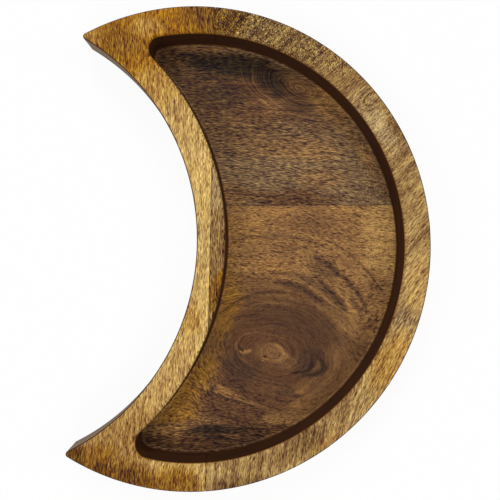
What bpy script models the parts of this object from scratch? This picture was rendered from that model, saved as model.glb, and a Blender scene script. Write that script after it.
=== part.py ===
"""A crescent moon tray: a rim of boards glued on thin base planks that run across them.

The maker glues a thick rim layer, its grain along the crescent, onto a thin base whose planks
run the other way. The well is routed through the rim and just into the base, the crescent is
sawn out of the blank, and its edges are rounded. Each board here is its rectangular stock, cut
to the finished tray's form. The tray lies flat, +Z up, its round edge towards +X and its horns
towards -X, one on each side of the X axis. Its origin is below the middle of its outline.
"""

import math

import bmesh
import bpy
from mathutils import Matrix, Vector

MM = 0.001

# Outline seen from above: a round edge, and a hollow cut into it by a second circle
ROUND_RADIUS = 150.9 * MM
HOLLOW_RADIUS = 145.6 * MM
CRESCENT_WIDTH = 148.2 * MM
# The hand-sawn outline is a shade oval, longest along a line that leans off the Y axis
OVAL_RATIO = 1.0214
OVAL_DIRECTION = math.radians(77.4)

# Layers
RIM_THICKNESS = 19.0 * MM
BASE_THICKNESS = 6.0 * MM
GLUE_LINE = 0.3 * MM

# Well. The router's template is cut a little tighter than the hollow, and sits a shade off.
# Its lower corner is the rounder one
WELL_BITE = 1.0 * MM
RIM_WIDTH = 17.5 * MM
STRIP_WIDTH = 18.2 * MM
TEMPLATE_TIGHTENING = 2.4 * MM
TEMPLATE_SHIFT_X = 0.8 * MM
TEMPLATE_SHIFT_Y = 0.5 * MM
UPPER_CORNER_RADIUS = 7.4 * MM
LOWER_CORNER_RADIUS = 9.2 * MM
COVE_RADIUS = 2.5 * MM

# Eased edges. The horns' noses stay blunter than the rounding that runs over them
EDGE_ROUND = 1.2 * MM
MOUTH_ROUND = 2.4 * MM
NOSE_BLUNTNESS = 0.8 * MM

# Rim boards meet within the strip between hollow and well, this far from the hollow's edge
JOINT_FROM_HOLLOW = 8.5 * MM
RIM_JOINT_LEAN = math.radians(0.9)

# Base planks, counted from the lower end of the round edge
LOWER_PLANK_WIDTH = 37.2 * MM
MIDDLE_PLANK_WIDTH = 143.9 * MM
PLANK_LEAN = math.radians(2.3)

# How far a board's stock or a cutter runs past the finished form
OVERRUN = 8.0 * MM

# Facets along each stretch of an outline, and across each rounding
ROUND_FACETS = 84
HOLLOW_FACETS = 48
NOSE_FACETS = 8
EDGE_FACETS = 3
MOUTH_FACETS = 4
COVE_FACETS = 4
SHARPEST_SMOOTH = math.radians(35.0)

# Places that follow from the sizes above
OVAL_STRETCH = math.sqrt(OVAL_RATIO)
CENTRE_DISTANCE = HOLLOW_RADIUS + CRESCENT_WIDTH - ROUND_RADIUS
HOLLOW_EDGE_X = ROUND_RADIUS - CRESCENT_WIDTH
WELL_RADIUS = ROUND_RADIUS - RIM_WIDTH
WELL_HOLLOW_RADIUS = HOLLOW_RADIUS + STRIP_WIDTH - TEMPLATE_TIGHTENING - TEMPLATE_SHIFT_X
WELL_CENTRE_DISTANCE = CENTRE_DISTANCE - TEMPLATE_TIGHTENING
WELL_FLOOR = BASE_THICKNESS - WELL_BITE
RIM_UNDERSIDE = BASE_THICKNESS + GLUE_LINE
TRAY_HEIGHT = RIM_UNDERSIDE + RIM_THICKNESS


def arc(centre, radius, start, end, facets):
    """Points along an arc from angle start to angle end, the last one left out."""
    angles = (start + (end - start) * step / facets for step in range(facets))
    return [centre + radius * Vector((math.cos(a), math.sin(a))) for a in angles]


def nose(round_radius, hollow_radius, distance, radius):
    """Where an upper horn's rounded end turns, and its bearings from the disc and the hollow."""
    reach = round_radius - radius
    swing = hollow_radius + radius
    x = (swing**2 - reach**2 - distance**2) / (2 * distance)
    y = math.sqrt(reach**2 - x**2)
    return x, y, math.atan2(y, x), math.atan2(y, x + distance)


def crescent(round_radius, hollow_radius, distance, upper_radius, lower_radius):
    """A disc hollowed by a circle whose centre lies distance to its left, its horns rounded."""
    edges = (round_radius, hollow_radius, distance)
    upper_x, upper_y, upper_bearing, upper_from_hollow = nose(*edges, upper_radius)
    lower_x, lower_y, lower_bearing, lower_from_hollow = nose(*edges, lower_radius)
    disc = Vector((0, 0))
    hollow = Vector((-distance, 0))
    upper_nose = Vector((upper_x, upper_y))
    lower_nose = Vector((lower_x, -lower_y))
    upper_turn = (upper_bearing, math.pi + upper_from_hollow)
    lower_turn = (math.pi - lower_from_hollow, 2 * math.pi - lower_bearing)
    return (
        arc(disc, round_radius, -lower_bearing, upper_bearing, ROUND_FACETS)
        + arc(upper_nose, upper_radius, *upper_turn, NOSE_FACETS)
        + arc(hollow, hollow_radius, upper_from_hollow, -lower_from_hollow, HOLLOW_FACETS)
        + arc(lower_nose, lower_radius, *lower_turn, NOSE_FACETS)
    )


def oval(points):
    """The same outline, stretched along OVAL_DIRECTION and squashed across it."""
    turn = Matrix.Rotation(OVAL_DIRECTION, 2)
    stretch = turn @ Matrix(((OVAL_STRETCH, 0), (0, 1 / OVAL_STRETCH))) @ turn.transposed()
    return [stretch @ point for point in points]


def tray_outline(inset=0):
    """The tray's outer edge, moved inwards by inset."""
    radius = ROUND_RADIUS - inset
    hollow = HOLLOW_RADIUS + inset
    horn = EDGE_ROUND + NOSE_BLUNTNESS - inset
    return oval(crescent(radius, hollow, CENTRE_DISTANCE, horn, horn))


def well_outline(outset=0):
    """The well's wall, moved outwards by outset."""
    radius = WELL_RADIUS + outset
    hollow = WELL_HOLLOW_RADIUS - outset
    corners = (UPPER_CORNER_RADIUS + outset, LOWER_CORNER_RADIUS + outset)
    template = crescent(radius, hollow, WELL_CENTRE_DISTANCE, *corners)
    shift = Vector((TEMPLATE_SHIFT_X, TEMPLATE_SHIFT_Y))
    return oval([point + shift for point in template])


def rounding(radius, facets):
    """Steps over a quarter round: how far in from the wall, and how far from the flat."""
    for step in range(facets + 1):
        angle = math.pi / 2 * step / facets
        yield radius * (1 - math.sin(angle)), radius * (1 - math.cos(angle))


def tray_sections():
    """Level outlines: from the underside up the outside, across the rim, down into the well."""
    edge = list(rounding(EDGE_ROUND, EDGE_FACETS))
    mouth = rounding(MOUTH_ROUND, MOUTH_FACETS)
    cove = list(rounding(COVE_RADIUS, COVE_FACETS))
    return (
        [(tray_outline(inset), rise) for inset, rise in edge]
        + [(tray_outline(inset), TRAY_HEIGHT - drop) for inset, drop in reversed(edge)]
        + [(well_outline(outset), TRAY_HEIGHT - drop) for outset, drop in mouth]
        + [(well_outline(-inset), WELL_FLOOR + rise) for inset, rise in reversed(cove)]
    )


def middle_of(outline):
    """The middle of the rectangle that an outline fills."""
    xs, ys = zip(*outline)
    return Vector(((min(xs) + max(xs)) / 2, (min(ys) + max(ys)) / 2))


ROUND_CENTRE = -middle_of(tray_outline())


def clear_scene():
    for thing in list(bpy.data.objects):
        bpy.data.objects.remove(thing, do_unlink=True)


def new_collection(name):
    made = bpy.data.collections.new(name)
    bpy.context.scene.collection.children.link(made)
    return made


def lacquered_wood(name, colour, roughness):
    made = bpy.data.materials.new(name)
    made.use_nodes = True
    shader = made.node_tree.nodes["Principled BSDF"]
    shader.inputs["Base Color"].default_value = (*colour, 1.0)
    shader.inputs["Roughness"].default_value = roughness
    shader.inputs["Metallic"].default_value = 0.0
    return made


def add_object(name, bm, collection, helper=False):
    """An object from a bmesh. Helpers shape the boards and aren't part of the tray."""
    mesh = bpy.data.meshes.new(name)
    bm.to_mesh(mesh)
    bm.free()
    made = bpy.data.objects.new(name, mesh)
    collection.objects.link(made)
    made.location = (*ROUND_CENTRE, 0)
    made.hide_render = helper
    made.display_type = "WIRE" if helper else "TEXTURED"
    return made


def loft(name, sections, collection):
    """A closed form through level outlines of equal count, capped at the first and the last."""
    bm = bmesh.new()
    rings = [[bm.verts.new((*point, height)) for point in outline] for outline, height in sections]
    for below, above in zip(rings, rings[1:]):
        for here in range(len(below)):
            bm.faces.new((below[here - 1], below[here], above[here], above[here - 1]))
    bm.faces.new(rings[0][::-1])
    bm.faces.new(rings[-1])
    return add_object(name, bm, collection, helper=True)


def block(name, x_range, y_range, z_range, lean, collection, helper=False):
    """A cuboid, its ranges counted from the round edge's centre along axes turned by lean."""
    low, high = (Vector(corner) for corner in zip(x_range, y_range, z_range))
    bm = bmesh.new()
    bmesh.ops.create_cube(bm, size=1)
    bmesh.ops.scale(bm, vec=high - low, verts=bm.verts)
    bmesh.ops.translate(bm, vec=(low + high) / 2, verts=bm.verts)
    made = add_object(name, bm, collection, helper)
    made.rotation_euler.z = lean
    return made


def cut(board, cutter, operation):
    boolean = board.modifiers.new(operation.lower() + "_" + cutter.name, "BOOLEAN")
    boolean.operation = operation
    boolean.object = cutter
    boolean.solver = "EXACT"


def base_planks(form, collection):
    """Three planks edge to edge, their grain along X, so that their joints cross the well."""
    end = ROUND_RADIUS * OVAL_STRETCH
    stock = (-end - OVERRUN, end + OVERRUN)
    heights = (-OVERRUN, BASE_THICKNESS)
    lower_joint = LOWER_PLANK_WIDTH - end
    upper_joint = lower_joint + MIDDLE_PLANK_WIDTH
    half_glue = GLUE_LINE / 2
    planks = (
        ("upper", (upper_joint + half_glue, stock[1]), (0.131, 0.071, 0.035)),
        ("middle", (lower_joint + half_glue, upper_joint - half_glue), (0.172, 0.082, 0.035)),
        ("lower", (stock[0], lower_joint - half_glue), (0.073, 0.035, 0.016)),
    )
    for place, width, colour in planks:
        plank = block("base_plank_" + place, stock, width, heights, PLANK_LEAN, collection)
        plank.data.materials.append(lacquered_wood(plank.name + "_wood", colour, 0.38))
        cut(plank, form, "INTERSECT")


def box_round_strip(joint, cutters):
    """A box that holds the right board's part of the strip, its sides out in the open well."""
    joint_in_well = joint - TEMPLATE_SHIFT_X
    strip_end = math.sqrt(WELL_HOLLOW_RADIUS**2 - (WELL_CENTRE_DISTANCE + joint_in_well) ** 2)
    far_wall = math.sqrt(WELL_RADIUS**2 - joint_in_well**2)
    half_length = (strip_end + far_wall) / 2
    middle_of_well = (HOLLOW_EDGE_X + STRIP_WIDTH + WELL_RADIUS) / 2
    return block(
        "box_round_strip",
        (joint - OVERRUN, middle_of_well),
        (TEMPLATE_SHIFT_Y - half_length, TEMPLATE_SHIFT_Y + half_length),
        (-OVERRUN, TRAY_HEIGHT + 2 * OVERRUN),
        RIM_JOINT_LEAN,
        cutters,
        helper=True,
    )


def rim_boards(form, collection, cutters):
    """Two boards edge to edge, their grain along Y. The well parts a strip from the right one,
    which stays glued to the left one beside the hollow."""
    end = ROUND_RADIUS * OVAL_STRETCH + OVERRUN
    heights = (RIM_UNDERSIDE, TRAY_HEIGHT + OVERRUN)
    joint = HOLLOW_EDGE_X + JOINT_FROM_HOLLOW
    half_glue = GLUE_LINE / 2
    strip_box = box_round_strip(joint, cutters)
    boards = (
        ("rim_board_left", (-end, joint - half_glue), (0.405, 0.229, 0.069), None),
        ("rim_board_right", (joint + half_glue, end), (0.326, 0.192, 0.074), "DIFFERENCE"),
        ("rim_strip_inner", (joint + half_glue, end), (0.292, 0.163, 0.054), "INTERSECT"),
    )
    for name, width, colour, strip_cut in boards:
        board = block(name, width, (-end, end), heights, RIM_JOINT_LEAN, collection)
        board.data.materials.append(lacquered_wood(name + "_wood", colour, 0.42))
        cut(board, form, "INTERSECT")
        if strip_cut:
            cut(board, strip_box, strip_cut)


def shade_smooth(collection):
    for board in collection.objects:
        board.data.shade_smooth()
        board.data.set_sharp_from_angle(angle=SHARPEST_SMOOTH)


def main():
    clear_scene()
    tray = new_collection("crescent_moon_tray")
    cutters = new_collection("cutters")
    form = loft("tray_form", tray_sections(), cutters)
    shade_smooth(cutters)
    base_planks(form, tray)
    rim_boards(form, tray, cutters)
    shade_smooth(tray)


main()
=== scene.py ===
"""A crescent moon tray of glued-up hardwood, seen from straight above on a white table."""

import math

import bmesh
import bpy
from mathutils import Matrix, Vector


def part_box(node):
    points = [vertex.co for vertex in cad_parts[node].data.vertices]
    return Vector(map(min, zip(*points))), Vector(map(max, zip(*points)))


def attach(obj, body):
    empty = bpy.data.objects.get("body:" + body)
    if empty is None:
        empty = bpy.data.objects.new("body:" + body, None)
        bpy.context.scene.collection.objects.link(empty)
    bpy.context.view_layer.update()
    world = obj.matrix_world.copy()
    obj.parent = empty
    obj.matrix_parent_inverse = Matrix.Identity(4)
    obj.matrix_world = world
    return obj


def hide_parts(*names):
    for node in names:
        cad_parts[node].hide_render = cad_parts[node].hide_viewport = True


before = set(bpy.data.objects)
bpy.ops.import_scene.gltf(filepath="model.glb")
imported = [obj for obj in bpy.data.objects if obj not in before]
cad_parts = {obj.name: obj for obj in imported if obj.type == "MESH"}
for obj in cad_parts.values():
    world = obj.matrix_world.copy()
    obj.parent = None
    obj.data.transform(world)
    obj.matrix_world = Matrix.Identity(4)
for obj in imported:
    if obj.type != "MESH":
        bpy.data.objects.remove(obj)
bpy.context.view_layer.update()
MM = 0.001

# The finished form. The blank is sawn to a crescent, its edges are eased, and a router following
# a template sinks the well through the rim layer and just into the base. Every board below is
# parted from this one form, so that edges and walls run on from board to board.
ROUND_RADIUS = 150.9 * MM
HOLLOW_RADIUS = 145.6 * MM
CRESCENT_WIDTH = 148.2 * MM
CENTRE_DISTANCE = HOLLOW_RADIUS + CRESCENT_WIDTH - ROUND_RADIUS
HOLLOW_EDGE_X = ROUND_RADIUS - CRESCENT_WIDTH
OVAL_RATIO = 1.0214
OVAL_DIRECTION = math.radians(77.4)
BASE_THICKNESS = 6.0 * MM
GLUE_LINE = 0.3 * MM
RIM_THICKNESS = 19.0 * MM
RIM_UNDERSIDE = BASE_THICKNESS + GLUE_LINE
TRAY_HEIGHT = RIM_UNDERSIDE + RIM_THICKNESS
WELL_BITE = 1.0 * MM
WELL_FLOOR = BASE_THICKNESS - WELL_BITE
RIM_WIDTH = 17.5 * MM
STRIP_WIDTH = 18.2 * MM
WELL_RADIUS = ROUND_RADIUS - RIM_WIDTH
TEMPLATE_TIGHTENING = 2.4 * MM
TEMPLATE_SHIFT = Vector((0.8 * MM, 0.5 * MM))
WELL_HOLLOW_RADIUS = HOLLOW_RADIUS + STRIP_WIDTH - TEMPLATE_TIGHTENING - TEMPLATE_SHIFT.x
UPPER_CORNER = 7.4 * MM
LOWER_CORNER = 9.2 * MM
COVE_RADIUS = 2.5 * MM
EDGE_ROUND = 1.2 * MM
MOUTH_ROUND = 2.4 * MM
NOSE_BLUNTNESS = 0.8 * MM
ROUND_FACETS = 200
HOLLOW_FACETS = 120
NOSE_FACETS = 14
EDGE_FACETS = 5
COVE_FACETS = 6
MOUTH_FACETS = 7
# Which cut a face belongs to
FLAT = 0.0
WELL_SIDE = 1.0
OUTSIDE = 2.0
GLUED = 3.0


def arc(centre, radius, start, end, facets):
    """Points along an arc from angle start to angle end, the last one left out."""
    angles = (start + (end - start) * step / facets for step in range(facets))
    return [centre + radius * Vector((math.cos(a), math.sin(a))) for a in angles]


def nose(round_radius, hollow_radius, distance, radius):
    """Where an upper horn's rounded end turns, and its bearings from the disc and the hollow."""
    reach = round_radius - radius
    swing = hollow_radius + radius
    x = (swing**2 - reach**2 - distance**2) / (2 * distance)
    y = math.sqrt(reach**2 - x**2)
    return x, y, math.atan2(y, x), math.atan2(y, x + distance)


def crescent(round_radius, hollow_radius, distance, upper_radius, lower_radius):
    """A disc hollowed by a circle whose centre lies distance to its left, its horns rounded."""
    edges = (round_radius, hollow_radius, distance)
    x, y, upper, upper_hollow = nose(*edges, upper_radius)
    low_x, low_y, lower, lower_hollow = nose(*edges, lower_radius)
    points = arc(Vector((0, 0)), round_radius, -lower, upper, ROUND_FACETS)
    points += arc(Vector((x, y)), upper_radius, upper, math.pi + upper_hollow, NOSE_FACETS)
    hollow_turn = (upper_hollow, -lower_hollow)
    points += arc(Vector((-distance, 0)), hollow_radius, *hollow_turn, HOLLOW_FACETS)
    lower_turn = (math.pi - lower_hollow, 2 * math.pi - lower)
    return points + arc(Vector((low_x, -low_y)), lower_radius, *lower_turn, NOSE_FACETS)


def oval(points):
    """The same outline, a shade longer along OVAL_DIRECTION and narrower across it."""
    turn = Matrix.Rotation(OVAL_DIRECTION, 2)
    longer = math.sqrt(OVAL_RATIO)
    stretch = turn @ Matrix(((longer, 0), (0, 1 / longer))) @ turn.transposed()
    return [stretch @ point for point in points]


def tray_outline(inset=0):
    """The tray's edge seen from above, inset further in."""
    radius, hollow = ROUND_RADIUS - inset, HOLLOW_RADIUS + inset
    horn = EDGE_ROUND + NOSE_BLUNTNESS - inset
    return oval(crescent(radius, hollow, CENTRE_DISTANCE, horn, horn))


def well_outline(outset=0):
    """The well's edge seen from above, outset further out."""
    radius, hollow = WELL_RADIUS + outset, WELL_HOLLOW_RADIUS - outset
    corners = (UPPER_CORNER + outset, LOWER_CORNER + outset)
    template = crescent(radius, hollow, CENTRE_DISTANCE - TEMPLATE_TIGHTENING, *corners)
    return oval([point + TEMPLATE_SHIFT for point in template])


def rounding(radius, facets):
    """Steps over a quarter round: how far in from the wall, and how far from the flat."""
    for step in range(facets + 1):
        angle = math.pi / 2 * step / facets
        yield radius * (1 - math.sin(angle)), radius * (1 - math.cos(angle))


xs, ys = zip(*tray_outline())
ROUND_CENTRE = -Vector(((min(xs) + max(xs)) / 2, (min(ys) + max(ys)) / 2))


def finished_form():
    """The whole tray as one closed skin. Each face remembers which cut it belongs to."""
    edge = list(rounding(EDGE_ROUND, EDGE_FACETS))
    mouth = rounding(MOUTH_ROUND, MOUTH_FACETS)
    cove = reversed(list(rounding(COVE_RADIUS, COVE_FACETS)))
    rows = [(tray_outline(i), rise, OUTSIDE) for i, rise in edge]
    rows += [(tray_outline(i), TRAY_HEIGHT - drop, OUTSIDE) for i, drop in reversed(edge)]
    rows += [(well_outline(o), TRAY_HEIGHT - drop, WELL_SIDE) for o, drop in mouth]
    rows += [(well_outline(-i), WELL_FLOOR + rise, WELL_SIDE) for i, rise in cove]
    form = bmesh.new()
    cut = form.faces.layers.float.new("cut")
    rings = [[form.verts.new((*(p + ROUND_CENTRE), height)) for p in row] for row, height, _ in rows]
    for below, above, (*_, kind), (*_, next_kind) in zip(rings, rings[1:], rows, rows[1:]):
        for here in range(len(below)):
            skin = (below[here - 1], below[here], above[here], above[here - 1])
            form.faces.new(skin)[cut] = kind if kind == next_kind else FLAT
    form.faces.new(rings[0][::-1])[cut] = FLAT
    form.faces.new(rings[-1])[cut] = FLAT
    return form


# The base: three planks edge to edge, their grain across the crescent. They are seen as the
# well's floor, and from outside as the lowest 6 mm of the edge. Dark heartwood, with a charcoal
# patch and a swirl by the upper end, and long curves sweeping round a knot in the middle plank.
PLANK_LEAN = math.radians(2.3)
LOWER_PLANK_WIDTH = 37.2 * MM
MIDDLE_PLANK_WIDTH = 143.9 * MM
LOWER_JOINT = LOWER_PLANK_WIDTH - ROUND_RADIUS * math.sqrt(OVAL_RATIO)
UPPER_JOINT = LOWER_JOINT + MIDDLE_PLANK_WIDTH
SHARPEST_SMOOTH = math.radians(35)
THROUGH_THE_BOARD = 100000


def saw(piece, place, away):
    """Saws a piece along a plane, drops the side that away points to, and closes the cut."""
    everything = piece.verts[:] + piece.edges[:] + piece.faces[:]
    sawn = bmesh.ops.bisect_plane(
        piece, geom=everything, plane_co=place, plane_no=away, clear_outer=True
    )["geom_cut"]
    rim = [part for part in sawn if isinstance(part, bmesh.types.BMEdge)]
    closed = bmesh.ops.triangle_fill(piece, use_beauty=True, edges=rim)["geom"]
    for part in closed:
        if isinstance(part, bmesh.types.BMFace):
            part[piece.faces.layers.float["cut"]] = GLUED


def glued_edge(piece, distance, lean, side):
    """Saws along a glue line that far from the round edge's centre, keeping one side of it."""
    across = Vector((math.cos(lean), math.sin(lean), 0))
    place = Vector((*ROUND_CENTRE, 0)) + across * (distance + side * GLUE_LINE / 2)
    saw(piece, place, across * -side)


def finish(name, piece, look):
    """Puts a sawn piece on the tray, smooth on its curves and crisp at its sawn edges."""
    bmesh.ops.recalc_face_normals(piece, faces=piece.faces)
    rough = bpy.data.meshes.new(name + "_sawn")
    piece.to_mesh(rough)
    piece.free()
    rough.shade_smooth()
    rough.set_sharp_from_angle(angle=SHARPEST_SMOOTH)
    made = bpy.data.objects.new(name, rough)
    bpy.context.scene.collection.objects.link(made)
    made.modifiers.new("even_shading", "WEIGHTED_NORMAL").keep_sharp = True
    shaded = made.evaluated_get(bpy.context.evaluated_depsgraph_get())
    made.data = bpy.data.meshes.new_from_object(shaded)
    made.modifiers.clear()
    made.data.name = name
    made.data.materials.clear()
    made.data.materials.append(look)
    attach(made, "root")
    return made


def mix_in(wood, kind, *inputs, out=0, **settings):
    """One node of a wood's recipe, its inputs numbers or other nodes' outputs, in order."""
    made = wood.node_tree.nodes.new("ShaderNode" + kind)
    for setting, value in settings.items():
        setattr(made, setting, value)
    for socket, value in zip(made.inputs, inputs):
        if isinstance(value, bpy.types.NodeSocket):
            wood.node_tree.links.new(value, socket)
        elif value is not None:
            socket.default_value = value
    return made.outputs[out]


def number(wood, operation, *inputs):
    """A sum on numbers."""
    return mix_in(wood, "Math", *inputs, operation=operation)


def vector(wood, operation, *inputs):
    """A sum on places or tones. Their length is a number, which has an output of its own."""
    out = 1 if operation == "LENGTH" else 0
    return mix_in(wood, "VectorMath", *inputs, operation=operation, out=out)


def between(wood, value, low, high, start=0.0, end=1.0):
    """Start below low, end above high, and a soft step from one to the other."""
    inputs = (value, low, high, start, end)
    return mix_in(wood, "MapRange", *inputs, interpolation_type="SMOOTHSTEP")


def blend(wood, share, one, other):
    """One tone where share is 0, the other where it is 1."""
    inputs = (share, None, None, None, one, other)
    return mix_in(wood, "Mix", *inputs, out=1, data_type="VECTOR")


def cloud(wood, place, size, detail=0.0):
    """Soft mottling in three dimensions, about 0 on the whole. Its spots are size mm each way."""
    small = vector(wood, "MULTIPLY", place, [1 / s for s in size])
    return number(wood, "SUBTRACT", mix_in(wood, "TexNoise", small, None, 1.0, detail), 0.5)


def oval_distance(wood, place, x, y, half_length, half_width, lean):
    """How far out from an oval's middle at x, y on the tray: 1 on the oval itself."""
    turn = (0, 0, math.radians(lean))
    sizes = (half_length, half_width, THROUGH_THE_BOARD)
    shape = mix_in(wood, "Mapping", place, (x, y, 0), turn, sizes, vector_type="TEXTURE")
    return vector(wood, "LENGTH", shape)


def patch_share(wood, place, patch, depth=1.0):
    """Depth over an oval patch's middle, fading to 0 a little beyond its edge."""
    core = 0.4
    end = 1.15
    return between(wood, oval_distance(wood, place, *patch), core, end, depth, 0.0)


def patches_together(wood, place, patches):
    """The share of several patches, where they meet that of the deepest."""
    total = 0.0
    for *patch, depth in patches:
        total = number(wood, "MAXIMUM", patch_share(wood, place, patch, depth), total)
    return total


def growth_lines(wood, place, grain):
    """Where a point lies in the tree: how far out from its heart, a little unevenly, and its place.
    Growth lines and fibres run round the heart, far off the board, and bend round a knot. They
    slope a little through the board's thickness."""
    slope = 0.6
    heart = grain["heart"]
    out = oval_distance(wood, place, *heart, 1, 1, 0)
    if "knot" in grain:
        x, y, ratio, lean, reach = grain["knot"]
        level = math.hypot(x - heart[0], y - heart[1])
        away = number(wood, "ABSOLUTE", number(wood, "SUBTRACT", out, level))
        round_knot = oval_distance(wood, place, x, y, ratio, 1, lean)
        share = patch_share(wood, place, (x, y, ratio * reach, reach, lean))
        out = mix_in(wood, "Mix", share, None, away, round_knot)
    for size, wander in grain["wander"]:
        out = number(wood, "MULTIPLY_ADD", cloud(wood, place, (size,) * 3), wander, out)
    x, y, z = mix_in(wood, "SeparateXYZ", place).node.outputs
    return mix_in(wood, "CombineXYZ", number(wood, "MULTIPLY_ADD", z, slope, out), x, y)


def grain_shade(wood, place, lines, grain):
    """Lighter and darker along the growth lines: thin dark rings, broad soft streaks, fine fibres,
    and the dark dashes of open pores. Fibres give way to speckles where the board is speckled,
    fibres and pores fade where it is calm, and a swirl has lines of its own."""
    fine, long = grain["ring"]
    rings = between(wood, cloud(wood, lines, (fine, long, long), 1.0), 0.0, 0.22)
    shade = number(wood, "MULTIPLY", rings, -grain["ring_strength"])
    fine, long = grain["streak"]
    streaks = cloud(wood, lines, (fine, long, long), 2.0)
    shade = number(wood, "MULTIPLY_ADD", streaks, grain["streak_strength"], shade)
    fine, long = grain["fibre"]
    fibres = cloud(wood, lines, (fine, long, long), 1.0)
    if "speckled" in grain:
        speckle = cloud(wood, place, grain["speckle"], 1.0)
        speckle = number(wood, "MULTIPLY", speckle, grain["speckle_strength"])
        broader = cloud(wood, place, (3, 4, 3))
        speckle = number(wood, "MULTIPLY_ADD", broader, 0.3, speckle)
        share = patches_together(wood, place, grain["speckled"])
        fibres = mix_in(wood, "Mix", share, None, fibres, speckle)
    fine, long = grain["pore"]
    apart_from_fibres = (31, 17, 5)
    elsewhere = vector(wood, "ADD", lines, apart_from_fibres)
    pores = between(wood, cloud(wood, elsewhere, (fine, long, long)), *grain["pore_range"])
    fine_shade = number(wood, "MULTIPLY", fibres, grain["fibre_strength"])
    fine_shade = number(wood, "MULTIPLY_ADD", pores, -grain["pore_strength"], fine_shade)
    if "calm" in grain:
        calm = patches_together(wood, place, grain["calm"])
        fine_shade = number(wood, "MULTIPLY", fine_shade, number(wood, "SUBTRACT", 1.0, calm))
    if "swirl" in grain:
        *middle, fine, strength, shown = grain["swirl"]
        out = oval_distance(wood, place, *middle)
        uneven = number(wood, "MULTIPLY_ADD", cloud(wood, place, (12, 12, 12), 1.0), 3.5, out)
        swirl = cloud(wood, mix_in(wood, "CombineXYZ", uneven), (fine, 1, 1), 1.0)
        swirl = number(wood, "MULTIPLY", swirl, strength)
        shade = number(wood, "MULTIPLY_ADD", swirl, patch_share(wood, place, shown), shade)
    return number(wood, "ADD", shade, fine_shade)


def seen(red, green, blue):
    """A colour as it looks on the tray, each part from 0 to 255."""
    return red / 255, green / 255, blue / 255


def cut_edges(wood, place, steep, tone):
    """Tones of the tray's cut sides. The board's own colour runs over the well's rounded mouth and
    turns orange-brown, then into painted shade down the well's wall and cove, with a painted pale
    glint where the cove meets the floor. The outer edge has painted shade along its rounding, and a
    paler, greyer painted reflection of the white table down its sawn wall."""
    mouth_tone = seen(126, 78, 26)
    # Painted shade of the well's wall and cove
    wall_shade_tone = seen(64, 35, 4)
    # A painted pale glint where the cove meets the floor
    foot_glint_tone = seen(140, 108, 78)
    # Painted shade on the outer edge's rounding
    corner_shade_tone = seen(72, 44, 24)
    # A painted reflection of the white table on the outer wall
    wall_reflection_tone = seen(128, 108, 88)
    glue_tone = seen(41, 26, 15)
    darkest = seen(4, 3, 2)
    cove_top = 7.0
    wall_foot = 9.0
    mouth_foot = 12.0
    same_cut = 0.4

    cut = mix_in(wood, "Attribute", out=2, attribute_type="GEOMETRY", attribute_name="cut")
    in_well = number(wood, "COMPARE", cut, WELL_SIDE, same_cut)
    outside = number(wood, "COMPARE", cut, OUTSIDE, same_cut)
    glued = number(wood, "COMPARE", cut, GLUED, same_cut)
    marks = cloud(wood, place, (25, 25, 1.1), 2.0)
    height = mix_in(wood, "SeparateXYZ", place, out=2)
    low = between(wood, height, cove_top, wall_foot, 1.0, 0.0)

    mouth = number(wood, "MULTIPLY", in_well, between(wood, steep, 0.3, 0.55, 0.0, 0.75))
    mouth = number(wood, "MULTIPLY", mouth, between(wood, height, wall_foot, mouth_foot))
    tone = blend(wood, mouth, tone, mouth_tone)
    # Painted shade: the well's wall and cove are darkened for the shade in the recess, and mottled.
    painted_wall_shade = vector(wood, "MULTIPLY_ADD", marks, (0.2, 0.12, 0.02), wall_shade_tone)
    cove = number(wood, "MULTIPLY", between(wood, steep, 0.01, 0.25), low)
    wall_shade_share = number(wood, "MAXIMUM", between(wood, steep, 0.5, 0.8), cove)
    wall_shade_share = number(wood, "MULTIPLY", in_well, wall_shade_share)
    tone = blend(wood, wall_shade_share, tone, painted_wall_shade)
    # A painted pale glint along the bottom of the cove, where it meets the floor.
    painted_foot_glint = number(wood, "MULTIPLY", between(wood, steep, 0.002, 0.03, 0.5, 0.0), low)
    tone = blend(wood, number(wood, "MULTIPLY", in_well, painted_foot_glint), tone, foot_glint_tone)
    # Painted shade along the outer edge's rounding.
    painted_corner_shade = number(wood, "MULTIPLY", outside, between(wood, steep, 0.03, 0.2, 0.0, 0.85))
    tone = blend(wood, painted_corner_shade, tone, corner_shade_tone)
    # A painted reflection of the white table, paler and greyer, down the outer sawn wall.
    sawn = vector(wood, "MULTIPLY_ADD", marks, (0.35, 0.33, 0.28), wall_reflection_tone)
    wall_reflection_share = number(wood, "MULTIPLY", outside, between(wood, steep, 0.75, 0.97))
    tone = blend(wood, wall_reflection_share, tone, sawn)
    tone = blend(wood, glued, tone, glue_tone)
    return vector(wood, "MAXIMUM", tone, darkest)


def lacquer(wood, shade, steep, roughness):
    """Satin on the flat faces, duller on the cut sides, with the grain faintly raised."""
    shader = wood.node_tree.nodes["Principled BSDF"]
    join = wood.node_tree.links.new
    bare = between(wood, steep, 0.0, 0.1, 0.0, 0.5)
    gloss = number(wood, "MULTIPLY_ADD", shade, -0.3, roughness)
    join(number(wood, "ADD", gloss, bare), shader.inputs["Roughness"])
    shader.inputs["Specular IOR Level"].default_value = 0.25
    relief = wood.node_tree.nodes.new("ShaderNodeBump")
    relief.inputs["Strength"].default_value = 0.2
    relief.inputs["Distance"].default_value = 0.1 * MM
    join(shade, relief.inputs["Height"])
    join(relief.outputs[0], shader.inputs["Normal"])


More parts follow.
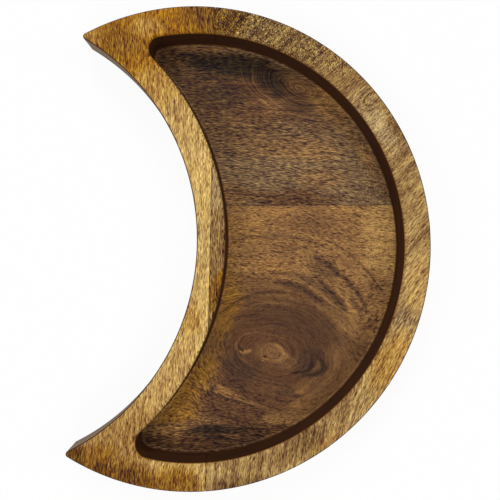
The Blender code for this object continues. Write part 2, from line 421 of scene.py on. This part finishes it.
def tree_wood(name, ground, patches, grain, curves=()):
    """Lacquered wood. Colours are mixed as they look, and turned into light at the end. Broad
    patches with frayed edges lie under growth lines and fibres, and curves are single dark or
    golden growth lines that catch the eye."""
    wood = bpy.data.materials.new(name)
    wood.use_nodes = True
    shader = wood.node_tree.nodes["Principled BSDF"]
    join = wood.node_tree.links.new
    place = vector(wood, "MULTIPLY", mix_in(wood, "TexCoord", out=3), (1000, 1000, 1000))
    lines = growth_lines(wood, place, grain)
    shade = grain_shade(wood, place, lines, grain)

    shreds = (1 / 5, 1 / 25, 1 / 25)
    fray = vector(wood, "MULTIPLY", lines, shreds)
    fray = mix_in(wood, "TexNoise", fray, None, 1.0, 2.0, out=1)
    fray = vector(wood, "SUBTRACT", fray, (0.5, 0.5, 0.5))
    frayed = vector(wood, "MULTIPLY_ADD", fray, (grain["fray"],) * 3, place)
    tone = seen(*ground)
    for *patch, colour, depth in patches:
        tone = blend(wood, patch_share(wood, frayed, patch, depth), tone, seen(*colour))
    tremor = 1.4
    tremble = vector(wood, "MULTIPLY_ADD", fray, (tremor,) * 3, place)
    for *oval_line, thickness, stretch, colour, depth in curves:
        out = number(wood, "SUBTRACT", oval_distance(wood, tremble, *oval_line), 1.0)
        off = number(wood, "MULTIPLY", number(wood, "ABSOLUTE", out), oval_line[3])
        drawn = between(wood, off, 0.0, thickness, depth, 0.0)
        drawn = number(wood, "MULTIPLY", drawn, patch_share(wood, place, stretch))
        tone = blend(wood, drawn, tone, seen(*colour))
    contrast = vector(wood, "MULTIPLY_ADD", tone, (grain["tone_share"],) * 3, grain["contrast"])
    shaded = number(wood, "ADD", shade, grain["lift"])
    tone = vector(wood, "MULTIPLY_ADD", contrast, shaded, tone)

    normal = mix_in(wood, "SeparateXYZ", mix_in(wood, "NewGeometry", out=1), out=2)
    steep = number(wood, "SUBTRACT", 1.0, number(wood, "ABSOLUTE", normal))
    tone = cut_edges(wood, place, steep, tone)
    join(mix_in(wood, "Gamma", tone, 2.2), shader.inputs["Base Color"])
    lacquer(wood, shade, steep, grain["roughness"])
    return wood


# The planks' tones, dark to light, each part from 0 to 255 as it looks on the tray
INK = (46, 33, 27)
DARK = (68, 47, 36)
UMBER = (86, 57, 39)
BROWN = (98, 70, 48)
CHESTNUT = (114, 80, 52)
DUSTY = (114, 88, 63)
TAN = (130, 93, 58)
AMBER = (148, 102, 42)
HONEY = (148, 106, 62)
STRAW = (165, 125, 75)
# The middles of the knot and of the upper plank's swirl
KNOT = (16, -66)
SWIRL = (27, 108)
SWIRL_RATIO = 2.1
SWIRL_LEAN = -24
# A grain's sizes are in mm, across the growth lines and along them. A knot gives its middle, how
# oval the growth lines are round it, their lean, and their reach. A swirl adds to its oval how
# fine its lines are, their strength, and the patch where they show.
PLANK_GRAIN = dict(
    heart=(-10, -600), wander=((60, 6), (18, 1.0), (5, 0.5)), fray=14.0, fibre=(0.44, 3.4),
    pore=(0.55, 4.2), pore_range=(0.09, 0.14), ring=(0.8, 15.0), streak=(2.2, 28.0),
    fibre_strength=2.5, pore_strength=0.35, ring_strength=0.25, streak_strength=0.6, lift=0.12,
    speckle=(0.65, 0.6, 0.6), speckle_strength=1.3, tone_share=0.5, contrast=(0.21, 0.21, 0.09),
    roughness=0.34,
)
UPPER_GRAIN = dict(
    PLANK_GRAIN, speckled=[(80, 62, 22, 46, 0, 0.6)], calm=[(14, 106, 42, 17, -18, 0.75)],
    swirl=(*SWIRL, SWIRL_RATIO, 1.0, SWIRL_LEAN, 0.9, 1.9, (14, 105, 42, 18, -20)),
)
MIDDLE_GRAIN = dict(
    PLANK_GRAIN, knot=(*KNOT, 1.4, -12, 72), wander=((45, 9), (13, 3.0), (5, 0.8)),
    fibre=(0.46, 2.4), pore=(0.6, 3.4), fibre_strength=1.6, ring=(1.0, 30.0), ring_strength=0.18,
    streak=(2.6, 45.0), streak_strength=0.5,
    speckled=[(30, -62, 60, 44, -14, 0.8), (76, 0, 20, 22, 0, 0.6)],
    calm=[(30, -62, 64, 46, -14, 0.62)],
)
# Patches and curves are marks seen in the wood. A patch gives a place on the tray in mm, half a
# length and half a width, a lean in degrees, its tone, and how deep it goes from 0 to 1. A curve
# is the line of an oval, its thickness, and the patch in which it shows.
UPPER_PATCHES = [
    (24, 68, 40, 10, 0, TAN, 0.7),
    (44, 49, 20, 8, 0, TAN, 0.6),
    (-26, 84, 52, 24, -10, BROWN, 0.95),
    (-6, 105, 66, 25, -10, UMBER, 1.0),
    (50, 102, 20, 20, -40, HONEY, 0.9),
    (-22, 102, 24, 9, -8, DARK, 0.7),
    (42, 82, 16, 6, 0, BROWN, 0.8),
    (12, 97, 16, 9, -10, CHESTNUT, 0.9),
    (26, 96, 12, 5, -4, DARK, 0.6),
    (-20, 121, 40, 10, -4, INK, 1.0),
    (8, 112, 16, 8, -60, INK, 0.8),
    # The next patch is painted lighter than the wood there, to offset the dark patch beside it and
    # the shade in the horn's crook.
    (-58, 118, 13, 20, 0, UMBER, 0.9),
    (-40, 133, 30, 7, 3, CHESTNUT, 0.9),
    (-14, 36, 14, 9, 0, CHESTNUT, 0.9),
    (26, 35, 39, 7, 2, UMBER, 0.9),
    (84, 58, 34, 9, -62, BROWN, 0.8),
]
MIDDLE_PATCHES = [
    (36, 27.5, 60, 1.5, 2, HONEY, 0.7),
    (85, 12, 42, 18, 88, STRAW, 1.0),
    (-1, 16, 10, 14, 0, HONEY, 0.9),
    (38, 20, 18, 10, 0, CHESTNUT, 0.9),
    (-17, 0, 36, 8, 88, AMBER, 0.4),
    (8, -11, 30, 6, -4, HONEY, 0.8),
    (23, 1, 14, 6, 0, CHESTNUT, 0.8),
    (49, -11, 14, 9, -45, BROWN, 0.85),
    (84, -21, 16, 10, -60, TAN, 0.9),
    (20, -62, 62, 48, -22, UMBER, 1.0),
    (-6, -100, 38, 25, -8, UMBER, 1.0),
    (36, -46, 46, 16, -14, DARK, 0.5),
    (44, -24, 26, 9, -26, BROWN, 0.8),
    (76, -43, 15, 20, -60, TAN, 1.0),
    (19, -68, 17, 9, -20, CHESTNUT, 1.0),
    (-5, -77, 17, 11, -20, DARK, 0.9),
    (38, -70, 12, 12, 20, DARK, 0.85),
    (40, -95, 15, 9, 30, HONEY, 0.9),
    (58, -78, 38, 14, 52, CHESTNUT, 0.95),
    # The next patch is the wood's own amber, painted lighter as light set against the shade by the
    # well's edge.
    (-39, -90, 34, 11, 54, AMBER, 1.0),
    (-46, -107, 19, 10, 8, AMBER, 1.0),
    (25, -110, 20, 6, 18, TAN, 0.9),
    (-17, -38, 26, 12, 76, AMBER, 0.8),
    (-13, -96, 38, 1.4, -20, DARK, 0.7),
    (-12, -94, 36, 1.5, -20, HONEY, 0.6),
    (-9, -88, 9, 2.2, -25, DARK, 0.8),
    (28, -94, 13, 3.6, -12, DARK, 0.7),
    (-1.5, -64.5, 2.5, 1.3, -25, HONEY, 0.8),
    (-3.8, -62.2, 1.8, 1.0, -50, INK, 0.8),
    (10.6, -70.0, 3.4, 1.0, -22, INK, 0.9),
    (10.4, -71.8, 3.2, 1.4, -12, HONEY, 0.8),
    (24, -66, 10, 1.8, -40, TAN, 0.7),
]
# Growth lines that stand out round the knot: ovals of which only a stretch shows
MIDDLE_CURVES = [
    (*KNOT, 46, 46, 0, 3.0, (33, -24, 22, 10, -20), DARK, 0.9),
    (*KNOT, 50, 50, 0, 1.4, (40, -22, 24, 12, -30), HONEY, 0.8),
    (*KNOT, 55, 55, 0, 3.2, (56, -27, 15, 10, -45), DARK, 0.9),
    (*KNOT, 59, 59, 0, 1.5, (60, -26, 20, 12, -45), HONEY, 0.8),
    (*KNOT, 68, 68, 0, 2.4, (60, -16, 36, 14, -45), DARK, 0.8),
    (*KNOT, 72, 72, 0, 1.3, (68, -12, 24, 12, -45), HONEY, 0.7),
    (*KNOT, 63, 63, 0, 2.8, (76, -33, 12, 8, -50), DARK, 0.9),
    (*KNOT, 82, 82, 0, 1.2, (68, -2, 38, 16, -38), UMBER, 0.7),
    (*KNOT, 77, 77, 0, 1.8, (20, 8, 38, 10, -3), BROWN, 0.6),
    (*KNOT, 42, 40, 0, 1.8, (0, -28, 34, 8, 14), DARK, 0.7),
    (*KNOT, 37, 33, 0, 1.2, (0, -38, 34, 12, 20), CHESTNUT, 0.5),
    (33, -71, 17, 8.5, -12, 1.8, (47, -76, 14, 12, 0), INK, 0.9),
    (28, -70, 15, 8, -10, 1.3, (38, -77, 14, 7, 20), INK, 0.9),
    (14, -66, 30, 17, -14, 1.1, (0, -66, 34, 26, 0), DARK, 0.6),
    (14, -66, 23, 12, -14, 0.9, (2, -60, 28, 18, 0), CHESTNUT, 0.6),
]
# Along the well's round side the upper plank is painted lighter, as light set against the wall's
# shade. Three dark lines stand out in its swirl.
UPPER_CURVES = [(-39, 0, 129, 129, 0, 7.0, (56, 86, 62, 28, -42), TAN, 0.75)]
for out in (5.5, 8, 11):
    shown = (SWIRL[0] - 1.6 * out, SWIRL[1], 1.6 * out, 1.3 * out, -60)
    line = (*SWIRL, SWIRL_RATIO * out, out, SWIRL_LEAN, 1.0, shown, INK, 0.8)
    UPPER_CURVES.append(line)
LOWER_PATCHES = [
    (-52, -119, 20, 7, 3, HONEY, 1.0),
    (-50, -129, 24, 7, -10, UMBER, 0.9),
    (-17, -118, 28, 5, 3, INK, 0.9),
    (4, -126, 34, 6, 6, DARK, 0.5),
]
PLANKS = (
    ("upper", (UPPER_JOINT, None), DUSTY, UPPER_PATCHES, UPPER_GRAIN, UPPER_CURVES),
    ("middle", (LOWER_JOINT, UPPER_JOINT), TAN, MIDDLE_PATCHES, MIDDLE_GRAIN, MIDDLE_CURVES),
    ("lower", (None, LOWER_JOINT), UMBER, LOWER_PATCHES, PLANK_GRAIN),
)
for where, (start, end), *look in PLANKS:
    plank = finished_form()
    saw(plank, (0, 0, BASE_THICKNESS), (0, 0, 1))
    if start is not None:
        glued_edge(plank, start, math.pi / 2 + PLANK_LEAN, 1)
    if end is not None:
        glued_edge(plank, end, math.pi / 2 + PLANK_LEAN, -1)
    board = finish("plank_" + where, plank, tree_wood("wood_" + where + "_plank", *look))
    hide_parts("base_plank_" + where)


# Dark glue in the two joints between the planks, a little below the well's floor
GLUE_DEPTH = 0.1 * MM
dark_glue = bpy.data.materials.new("dark_glue")
dark_glue.use_nodes = True
glue_paint = dark_glue.node_tree.nodes["Principled BSDF"]
glue_paint.inputs["Base Color"].default_value = (0.022, 0.01, 0.004, 1)
glue_paint.inputs["Roughness"].default_value = 0.6
for where, joint in (("lower", LOWER_JOINT), ("upper", UPPER_JOINT)):
    glue = finished_form()
    saw(glue, (0, 0, WELL_FLOOR - GLUE_DEPTH), (0, 0, 1))
    glued_edge(glue, joint - GLUE_LINE, math.pi / 2 + PLANK_LEAN, 1)
    glued_edge(glue, joint + GLUE_LINE, math.pi / 2 + PLANK_LEAN, -1)
    line = finish("glue_" + where, glue, dark_glue)


# The rim: two thick boards glued edge to edge on the planks, their grain running the length of
# the crescent. The well parts a strip from the right board, which stays glued to the left one
# beside the hollow. Golden wood with brown pores on the left, purple-brown and curlier on the right.
JOINT_FROM_HOLLOW = 8.5 * MM
RIM_JOINT = HOLLOW_EDGE_X + JOINT_FROM_HOLLOW
RIM_JOINT_LEAN = math.radians(0.9)
RIGHT_HEART = (346, -176)
RIGHT_EYE = (71, 98)
RIM_GRAIN = dict(
    heart=(-2000, 0), wander=((55, 6), (13, 0.8)), fray=10.0, fibre=(0.44, 3.2),
    pore=(0.55, 3.6), pore_range=(0.1, 0.15), ring=(0.8, 30.0), streak=(2.2, 14.0),
    fibre_strength=1.55, pore_strength=0.34, ring_strength=0.14, streak_strength=0.75, lift=0.06,
    speckle=(0.34, 0.9, 0.5), speckle_strength=2.0, tone_share=0.0, contrast=(0.55, 0.56, 0.34),
    roughness=0.36,
)
RIGHT_GRAIN = dict(
    RIM_GRAIN, heart=RIGHT_HEART, ring=(1.0, 50.0), ring_strength=0.2, streak=(2.2, 60.0),
    streak_strength=0.9, pore_strength=0.3, lift=0.08,
    speckled=[(20, 138, 90, 26, -15, 1.0), (84, 82, 46, 28, -55, 0.5), (110, 26, 30, 12, 90, 0.3)],
)
# The rim's tones: golden ones from dark to light, then duller browns from dark to light
BARK = (92, 54, 8)
TOFFEE = (112, 70, 16)
COPPER = (134, 88, 24)
OCHRE = (155, 101, 10)
CARAMEL = (156, 116, 62)
WHEAT = (170, 125, 60)
SAND = (184, 145, 85)
CREAM = (196, 159, 94)
WALNUT = (116, 84, 48)
NUTMEG = (138, 104, 62)
TAUPE = (144, 114, 78)
OAK = (162, 128, 78)
PALE = (161, 131, 90)
LEFT_PATCHES = [
    (-80, 132, 84, 34, 12, OCHRE, 1.0),
    (-61, 100, 20, 14, -50, WHEAT, 0.9),
    (-51, 80, 20, 9, -62, SAND, 0.85),
    (-108, 131, 14, 12, 0, WHEAT, 0.9),
    (-30, 147, 24, 18, 0, TOFFEE, 1.0),
    (-86, 127, 20, 13, -10, COPPER, 0.9),
    (-71, 138, 14, 9, 10, WHEAT, 0.9),
    (-37, -44, 14, 8, 90, WHEAT, 0.85),
    (-86, -128, 56, 30, 30, CARAMEL, 1.0),
    (-50, -78, 32, 14, 62, SAND, 0.95),
    (-76, -148, 50, 16, -10, TOFFEE, 1.0),
    (-94, -133, 18, 8, 20, COPPER, 0.9),
    (-109, -133, 13, 9, 20, BARK, 1.0),
    (-89, -140, 7, 6, 10, BARK, 0.8),
    (-42, -148, 20, 14, 0, COPPER, 1.0),
]
RIGHT_PATCHES = [
    (16, 134, 56, 17, -20, WALNUT, 1.0),
    (56, 112, 32, 15, -42, NUTMEG, 1.0),
    (-22, 146, 16, 15, 0, BARK, 1.0),
    (76, 84, 28, 11, -54, PALE, 1.0),
    (87, 85, 14, 7, -55, WALNUT, 0.9),
    (98, 34, 12, 9, 80, NUTMEG, 0.8),
    (110, 20, 14, 6, 90, NUTMEG, 0.8),
    (104, -18, 24, 10, 82, SAND, 0.9),
    (96, -39, 10, 9, 70, TAUPE, 0.9),
    (90, -65, 24, 12, 60, WHEAT, 0.9),
    (60, -98, 10, 7, 45, NUTMEG, 0.8),
    (37, -118, 20, 10, 36, WALNUT, 0.9),
    (52, -118, 16, 6, 38, CARAMEL, 0.8),
    (12, -132, 26, 8, 12, NUTMEG, 0.9),
    (0, -147, 26, 8, 5, WALNUT, 1.0),
]
RIGHT_CURVES = [
    (*RIGHT_EYE, 5, 3.4, 40, 0.9, (*RIGHT_EYE, 9, 8, 0), BARK, 0.7),
    (*RIGHT_EYE, 9, 6.2, 40, 1.0, (*RIGHT_EYE, 14, 12, 0), WALNUT, 0.8),
    (*RIGHT_EYE, 13, 9, 40, 0.9, (68, 98, 16, 14, 0), SAND, 0.6),
    (*RIGHT_HEART, 341, 341, 0, 1.8, (92, 58, 30, 9, 45), WALNUT, 0.9),
    (*RIGHT_HEART, 349, 349, 0, 2.0, (90, 66, 30, 9, 45), WALNUT, 0.9),
    (*RIGHT_HEART, 357, 357, 0, 1.8, (84, 74, 26, 8, 45), WALNUT, 0.8),
    (*RIGHT_HEART, 331, 331, 0, 1.6, (104, 48, 26, 9, 48), WALNUT, 0.7),
    (*RIGHT_HEART, 290, 290, 0, 1.8, (110, -12, 34, 8, 58), WALNUT, 0.6),
    (*RIGHT_HEART, 306, 306, 0, 1.6, (106, 18, 28, 8, 52), WALNUT, 0.6),
]
STRIP_PATCHES = [
    (-22, 42, 20, 9, 88, PALE, 0.9),
    (-20, -26, 16, 9, 75, TOFFEE, 0.8),
    (-20.5, -17, 6, 2.4, 80, OCHRE, 0.8),
]
BOARDS = (
    ("left", "rim_board_left", -1, None, CREAM, LEFT_PATCHES, RIM_GRAIN),
    ("right", "rim_board_right", 1, False, OAK, RIGHT_PATCHES, RIGHT_GRAIN, RIGHT_CURVES),
    ("strip", "rim_strip_inner", 1, True, NUTMEG, STRIP_PATCHES, RIM_GRAIN),
)
for where, node, side, strip_kept, *look in BOARDS:
    board = finished_form()
    saw(board, (0, 0, RIM_UNDERSIDE), (0, 0, -1))
    glued_edge(board, RIM_JOINT, RIM_JOINT_LEAN, side)
    if strip_kept is not None:
        low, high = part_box("rim_strip_inner")
        reach = 3 * MM  # past the strip, and short of the rest of the board
        on_strip = [
            vert for vert in board.verts
            if vert.co.x < high.x + reach and low.y - reach < vert.co.y < high.y + reach
        ]
        unwanted = set(board.verts) - set(on_strip) if strip_kept else on_strip
        bmesh.ops.delete(board, geom=list(unwanted), context="VERTS")
    board = finish("board_" + where, board, tree_wood("wood_" + where + "_board", *look))
    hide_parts(node)


# The table: a white top that runs out of sight. Seen by the camera it is nearly white by itself,
# and still takes a soft shadow round the tray.
TABLE_HALF = 4.0
TABLE_GLOW = 0.93
table_mesh = bpy.data.meshes.new("table_top")
top = bmesh.new()
bmesh.ops.create_grid(top, x_segments=1, y_segments=1, size=TABLE_HALF)
top.to_mesh(table_mesh)
top.free()
table = bpy.data.objects.new("table_top", table_mesh)
bpy.context.scene.collection.objects.link(table)
white = bpy.data.materials.new("white_table")
white.use_nodes = True
paint = white.node_tree.nodes["Principled BSDF"]
paint.inputs["Base Color"].default_value = (0.9, 0.9, 0.9, 1)
paint.inputs["Roughness"].default_value = 0.9
glow = white.node_tree.nodes.new("ShaderNodeEmission")
glow.inputs["Strength"].default_value = 1.0
glow_share = number(white, "MULTIPLY", mix_in(white, "LightPath"), TABLE_GLOW)
table_look = mix_in(white, "MixShader", glow_share, paint.outputs[0], glow.outputs[0])
output = white.node_tree.nodes["Material Output"]
white.node_tree.links.new(table_look, output.inputs["Surface"])
table_mesh.materials.append(white)


# The light of a plain studio: a pale room, and four broad lamps round the tray, each well off
# the camera's mirror line, so that the lacquer keeps its colour.
room = bpy.data.worlds.new("pale_room")
room.use_nodes = True
air = room.node_tree.nodes["Background"]
air.inputs["Color"].default_value = (1, 1, 1, 1)
ROOM_LIGHT = 0.15
ROOM_SEEN = 1.0
in_view = mix_in(room, "LightPath")
room_strength = between(room, in_view, 0.0, 1.0, ROOM_LIGHT, ROOM_SEEN)
room.node_tree.links.new(room_strength, air.inputs["Strength"])
bpy.context.scene.world = room
LAMP_TILT = math.radians(48)
LAMP_BREADTH = math.radians(30)
for bearing, strength in ((100, 1.3), (10, 0.95), (190, 1.0), (280, 0.85)):
    light = bpy.data.lights.new(f"lamp_{bearing}", "SUN")
    light.energy = strength
    light.angle = LAMP_BREADTH
    lamp = bpy.data.objects.new(f"lamp_{bearing}", light)
    lamp.rotation_euler = (LAMP_TILT, 0, math.radians(bearing + 90))
    bpy.context.scene.collection.objects.link(lamp)


# The camera hangs straight above the tray, turned a little, as the photographer held it.
CAMERA_ABOVE_RIM = 430 * MM
CAMERA_TURN = math.radians(2.15)
eye = bpy.data.cameras.new("camera")
eye.lens = 49.489
eye.sensor_width = 36
camera = bpy.data.objects.new("camera", eye)
camera.location = (-1.23 * MM, 0.78 * MM, TRAY_HEIGHT + CAMERA_ABOVE_RIM)
camera.rotation_euler.z = CAMERA_TURN
bpy.context.scene.collection.objects.link(camera)
bpy.context.scene.camera = camera
bpy.context.scene.view_settings.view_transform = "Standard"
